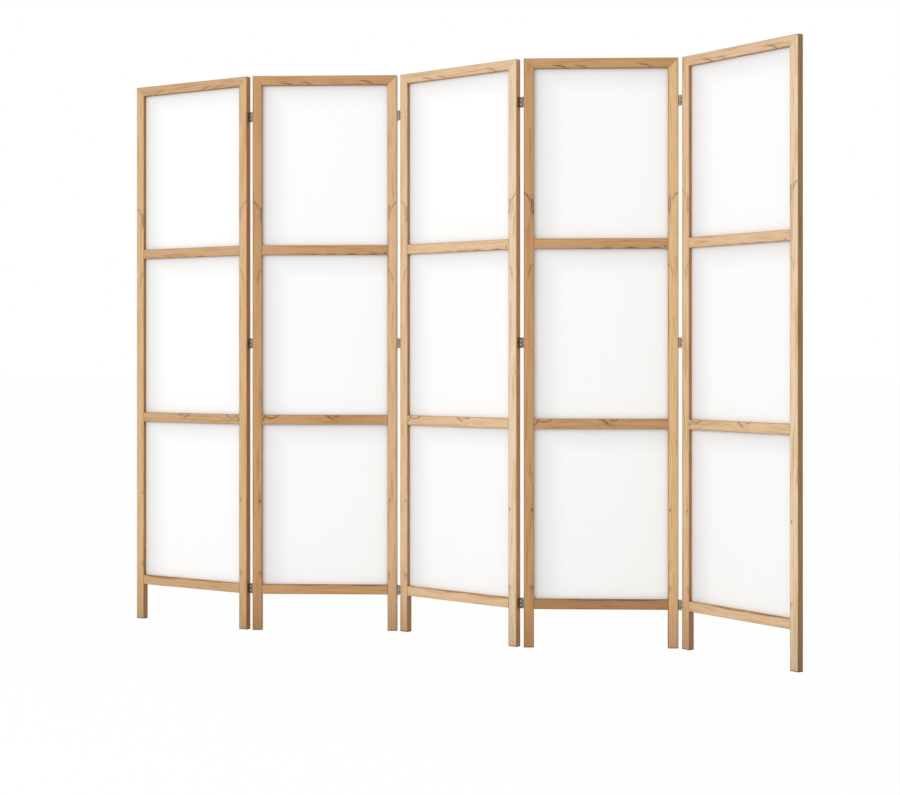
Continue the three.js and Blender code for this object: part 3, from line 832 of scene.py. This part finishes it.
for turn in (45, 135):
    bpy.ops.mesh.primitive_cube_add(size=1)
    punch = bpy.context.object
    punch.scale = [size * MM for size in PUNCH]
    punch.rotation_euler = (0, 0, math.radians(turn))
    settle(punch)
    select_faces(punch, lambda centre, normal: normal.z < DOWNWARD)
    bpy.ops.transform.resize(value=(PUNCH_TAPER, PUNCH_TAPER, 1), center_override=(0, 0, 0))
    bpy.ops.object.mode_set(mode="OBJECT")
    recess = screw.modifiers.new("cross_recess", "BOOLEAN")
    recess.operation = "DIFFERENCE"
    recess.solver = "EXACT"
    recess.object = punch
    punches.append(punch)
apply_modifiers(screw)
for punch in punches:
    bpy.data.objects.remove(punch)
pick(screw)
bpy.ops.object.shade_smooth_by_angle(angle=ROUND_BEND)
print("screw:", len(screw.data.polygons), "faces")

# %% [markdown]
# A leaf's own box says where its screws go: it is flat against the stile's side, so in the panel's
# millimetres its screws stand 8 mm above and below its middle, 6 mm from its free edge. The free edge
# is the one inside the frame's depth, and the barrel is at the other. No two screws stop at the same
# angle, so each is turned by its own amount.

# %% Two screws in every hinge leaf
SCREW_SPREAD, FREE_EDGE_TO_SCREW, HEAD_BELOW_LEAF = 8.0, 6.0, 0.06
LEAF_FACE = 1.5
turns = random.Random(11)
for leaf in hinge_nodes:
    left_panel, right_panel = (int(n) for n in leaf.split("_")[1:3])
    panel, side = (left_panel, 1) if leaf.endswith("pin_leaf") else (right_panel, -1)
    to_panel = PLACES[panel].inverted()
    corners = [to_panel @ Vector(c) / MM for c in corners_of(leaf)]
    height = (min(c.z for c in corners) + max(c.z for c in corners)) / 2
    front, back = min(c.y for c in corners), max(c.y for c in corners)
    depth = back - FREE_EDGE_TO_SCREW if front < 0 else front + FREE_EDGE_TO_SCREW
    # The head looks into the gap between the panels: to the right from a left-hand panel.
    out = LEAF_FACE - HEAD_BELOW_LEAF
    across = PANEL_WIDTH + out if side > 0 else -out
    pair = []
    for up in (-SCREW_SPREAD, SCREW_SPREAD):
        spin = Matrix.Rotation(turns.uniform(0, math.pi), 4, "Z")
        stand = Matrix.Rotation(math.radians(90 * side), 4, "Y") @ spin
        spot = Matrix.Translation(Vector((across, depth, height + up)) * MM)
        pair.append(copied(screw, "one_screw", PLACES[panel] @ spot @ stand))
    screws = joined(pair, leaf + "_screws")
    screws.data.materials.clear()
    screws.data.materials.append(screw_steel)
    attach(screws, f"panel_{panel}")
bpy.data.objects.remove(screw)
print("screws:", 2 * len(hinge_nodes), "on", len(hinge_nodes), "leaves")

# %% [markdown]
# ## Staples
# The cloth is held by wire staples, 11 mm wide, shot through it into the ledge of the rebate. A staple
# is one bent wire, so it starts as a bar for the crown. The bar is cut near its ends, the undersides of
# the end pieces are drawn out as legs, and a small bevel rounds the wire. There are hundreds, so one
# has only a few dozen faces.

# %% One staple: crown along X, legs towards -Z, underside of the crown at z = 0
STAPLE_WIDTH, STAPLE_LEG = 11.0, 6.0
WIRE_WIDE, WIRE_THICK, WIRE_ROUNDING = 1.1, 0.6, 0.14
LEG_FROM = (STAPLE_WIDTH / 2 - WIRE_THICK) * MM
start_alone()
bpy.ops.mesh.primitive_cube_add(size=1, location=(0, 0, WIRE_THICK / 2 * MM))
staple = bpy.context.object
staple.scale = (STAPLE_WIDTH * MM, WIRE_WIDE * MM, WIRE_THICK * MM)
settle(staple)
for side in (-1, 1):
    bpy.ops.object.mode_set(mode="EDIT")
    bpy.ops.mesh.select_all(action="SELECT")
    bpy.ops.mesh.bisect(plane_co=(side * LEG_FROM, 0, 0), plane_no=(1, 0, 0))
    bpy.ops.object.mode_set(mode="OBJECT")
select_faces(staple, lambda centre, normal: normal.z < DOWNWARD and abs(centre.x) > LEG_FROM)
bpy.ops.mesh.extrude_region_move(TRANSFORM_OT_translate={"value": (0, 0, -STAPLE_LEG * MM)})
bpy.ops.object.mode_set(mode="OBJECT")
bend = staple.modifiers.new("wire_rounding", "BEVEL")
bend.width = WIRE_ROUNDING * MM
bend.segments = 1
bend.limit_method = "ANGLE"
apply_modifiers(staple)
print("staple:", len(staple.data.polygons), "faces")

# %% [markdown]
# The staples stand parallel to the edge of the cloth, about 85 mm apart along the sides, and closer
# along the rails. A hand-held stapler never sets two quite alike, so each is turned by a few degrees.

# %% Rows of staples on the back of the cloth
CLOTH_LEFT, CLOTH_RIGHT = 23.0, 427.0
CLOTH_LOW, CLOTH_HIGH = 135.0, 1697.0
CLOTH_FRONT, CLOTH_THICKNESS = 11.35, 0.6
CLOTH_BACK = CLOTH_FRONT + CLOTH_THICKNESS
SIDE_STAPLES, RAIL_STAPLES = 19, 6
# From the cloth's edge to a row, and from its corner to the first staple of a row (mm).
EDGE_DISTANCE, SIDE_MARGIN, RAIL_MARGIN = 3.4, 18.0, 45.0
STAPLE_SINK = 0.25
# How far a staple is off its line and off its place along it (mm), and out of true (degrees).
OFF_LINE, OFF_PLACE, OFF_TRUE = 0.4, 3.0, 4.0
shake = random.Random(7)
staple_spots = []
side_run = CLOTH_HIGH - CLOTH_LOW - 2 * SIDE_MARGIN
for row in range(SIDE_STAPLES):
    height = CLOTH_LOW + SIDE_MARGIN + row * side_run / (SIDE_STAPLES - 1)
    for across in (CLOTH_LEFT + EDGE_DISTANCE, CLOTH_RIGHT - EDGE_DISTANCE):
        staple_spots.append((across, height, 90))
rail_run = CLOTH_RIGHT - CLOTH_LEFT - 2 * RAIL_MARGIN
middles = [top - LATH_WIDTH / 2 for top in (LOWER_RAIL, UPPER_RAIL)]
for height in (CLOTH_LOW + EDGE_DISTANCE, *middles, CLOTH_HIGH - EDGE_DISTANCE):
    for column in range(RAIL_STAPLES):
        across = CLOTH_LEFT + RAIL_MARGIN + column * rail_run / (RAIL_STAPLES - 1)
        staple_spots.append((across, height, 0))
stapled = []
for across, height, turn in staple_spots:
    across += shake.uniform(-OFF_LINE, OFF_LINE)
    off = OFF_PLACE if turn else OFF_LINE
    height += shake.uniform(-off, off)
    angle = math.radians(turn + shake.uniform(-OFF_TRUE, OFF_TRUE))
    # The legs point to the front, so the staple's up is the panel's back.
    stand = Matrix.Rotation(math.radians(-90), 4, "X") @ Matrix.Rotation(angle, 4, "Z")
    spot = Matrix.Translation(Vector((across, CLOTH_BACK - STAPLE_SINK, height)) * MM)
    stapled.append(copied(staple, "one_staple", spot @ stand))
panel_staples = joined(stapled, "panel_staples")
bpy.data.objects.remove(staple)
print("staples on a panel:", len(staple_spots))

# %% [markdown]
# ## Cloth
# The cloth of a panel is one sheet, 404 by 1562 mm, laid over the ledge of the rebate from behind and
# across the backs of the middle rails. It is stretched by hand and stapled, so it is not a perfect
# plane: it dips at each staple, lifts a little between two of them, and breathes by a few tenths of a
# millimetre in the open bays. A grid of 8 mm squares is fine enough for that. It is shaped point by
# point, because it is a soft thing that pulls on its neighbours, and Solidify gives it its thickness.

# %% One sheet of cloth, in the panel's own place
COLUMNS, ROWS = 50, 195
# A dip at a staple: its depth, its width, and how far it is felt (mm).
DIMPLE, DIMPLE_WIDTH, DIMPLE_REACH = 0.22, 9.0, 25.0
# The slack (mm), and how far from its edges the cloth is still tight.
SLACK, TIGHT = 0.2, 60
# The lengths of a swell and of a slanting one (mm), and the phases of the first.
SWELL, SLANT, PHASES = (71, 118), (37, 53), (1.3, 0.4)
CREASE = math.radians(40)
start_alone()
bpy.ops.mesh.primitive_grid_add(x_subdivisions=COLUMNS, y_subdivisions=ROWS, size=1)
sheet = bpy.context.object
sheet.scale = ((CLOTH_RIGHT - CLOTH_LEFT) * MM, (CLOTH_HIGH - CLOTH_LOW) * MM, 1)
sheet.rotation_euler = (math.radians(90), 0, 0)
sheet.location = (
    (CLOTH_LEFT + CLOTH_RIGHT) / 2 * MM,
    (CLOTH_FRONT + CLOTH_THICKNESS / 2) * MM,
    (CLOTH_LOW + CLOTH_HIGH) / 2 * MM,
)
settle(sheet)
for vertex in sheet.data.vertices:
    x, z = vertex.co.x / MM, vertex.co.z / MM
    dip = sum(
        math.exp(-((x - sx) ** 2 + (z - sz) ** 2) / DIMPLE_WIDTH**2)
        for sx, sz, turn in staple_spots
        if abs(x - sx) < DIMPLE_REACH and abs(z - sz) < DIMPLE_REACH
    )
    inner = min(x - CLOTH_LEFT, CLOTH_RIGHT - x, TIGHT) / TIGHT
    breath = math.sin(x / SWELL[0] + PHASES[0]) * math.sin(z / SWELL[1] + PHASES[1])
    breath += 0.5 * math.sin(x / SLANT[0] - z / SLANT[1])
    vertex.co.y += (SLACK * inner * breath - DIMPLE * min(dip, 1.0)) * MM
thick = sheet.modifiers.new("cloth_thickness", "SOLIDIFY")
thick.thickness = CLOTH_THICKNESS * MM
thick.offset = 0
apply_modifiers(sheet)
pick(sheet)
bpy.ops.object.shade_smooth_by_angle(angle=CREASE)
print("cloth:", len(sheet.data.polygons), "faces")

# %% [markdown]
# ### White cloth
# The cloth is white non-woven polyester: matt, close, of short fibres pressed flat. Its pressed dots
# are 0.8 mm apart and its tufts 0.5 mm, too fine to show from afar; they grain the near view. Each bay
# has painted shade towards its left and its upper edge, as the frame would cast it from a lamp at the
# upper left, on the front of the cloth alone. The bays repeat up the panel, so one remainder gives the
# distance below any of the three upper edges.

# %% Cloth material
BAY_TOP, BAY_PITCH, BAY_LEFT = PANEL_HEIGHT - LATH_WIDTH, UPPER_RAIL - LOWER_RAIL, LATH_WIDTH
# How far the painted shade reaches (mm), and how strong it is at the edge.
PAINTED_SHADE_ACROSS, PAINTED_SHADE_BELOW = (88.0, 1.0), (70.0, 0.75)
# The cloth's white, and the grey of its painted shade.
CLOTH_WHITE, CLOTH_PAINTED_SHADE = "#FCFCFB", "#E9E9E9"
DOTS, TUFTS = 0.8, 0.5
CLOTH_RISE, CLOTH_GRAIN = 0.06 * MM, 0.25
MATT = {"Roughness": 0.92, "Sheen Weight": 0.08, "Specular IOR Level": 0.2}


def nonwoven_white(panel):
    """White pressed polyester cloth for one panel, with painted shade along two edges of each bay."""
    material, tree, shader = new_material(f"white_nonwoven_polyester_{panel}")
    row = add(tree, "ShaderNodeTexCoord")
    place = PLACES[panel]
    point = add(
        tree,
        "ShaderNodeMapping",
        {
            "Vector": row.outputs["Object"],
            "Location": place.to_translation(),
            "Rotation": place.to_euler(),
            "Scale": (MM, MM, MM),
        },
        vector_type="TEXTURE",
    ).outputs[0]
    parts = add(tree, "ShaderNodeSeparateXYZ", {0: point})
    below = calc(tree, "SUBTRACT", BAY_TOP, parts.outputs["Z"])
    below = calc(tree, "FLOORED_MODULO", below, BAY_PITCH)
    across = calc(tree, "SUBTRACT", parts.outputs["X"], BAY_LEFT)
    grey = 0.0
    for distance, (reach, most) in ((across, PAINTED_SHADE_ACROSS), (below, PAINTED_SHADE_BELOW)):
        fade = ranged(tree, distance, {"From Max": reach, "To Min": most, "To Max": 0.0})
        grey = calc(tree, "MAXIMUM", grey, fade)
    # The painted shade lies on the front alone, which looks against the panel's back.
    back = place.to_3x3().col[1]
    turned = add(
        tree, "ShaderNodeVectorMath", {0: row.outputs["Normal"], 1: -back}, operation="DOT_PRODUCT"
    ).outputs["Value"]
    grey = calc(tree, "MULTIPLY", grey, calc(tree, "GREATER_THAN", turned, 0.0))
    colour = laid_over(tree, grey, linear(CLOTH_WHITE), linear(CLOTH_PAINTED_SHADE))
    tree.links.new(colour, shader.inputs["Base Color"])
    for socket, value in MATT.items():
        shader.inputs[socket].default_value = value
    dots = add(tree, "ShaderNodeTexVoronoi", {"Vector": point, "Scale": 1 / DOTS})
    tufts = add(tree, "ShaderNodeTexNoise", {"Vector": point, "Scale": 1 / TUFTS, "Detail": 3.0})
    height = calc(tree, "ADD", dots.outputs["Distance"], tufts.outputs["Fac"])
    relief = {"Strength": CLOTH_GRAIN, "Distance": CLOTH_RISE, "Height": height}
    tree.links.new(add(tree, "ShaderNodeBump", relief).outputs[0], shader.inputs["Normal"])
    return material


# %% [markdown]
# The one sheet and the one set of staples are copied to each panel. The sheet stands for the plain
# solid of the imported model, and rides with its panel's frame.

# %% Cloth and staples on every panel
for panel in PANELS:
    cloth = copied(sheet, f"panel_{panel}_cloth", PLACES[panel])
    cloth.data.materials.clear()
    cloth.data.materials.append(nonwoven_white(panel))
    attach(cloth, f"panel_{panel}")
    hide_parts(f"panel_{panel}_sheet")
    staples = copied(panel_staples, f"panel_{panel}_staples", PLACES[panel])
    staples.data.materials.clear()
    staples.data.materials.append(staple_wire)
    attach(staples, f"panel_{panel}")
bpy.data.objects.remove(sheet)
bpy.data.objects.remove(panel_staples)
print("cloth on", len(PANELS), "panels")
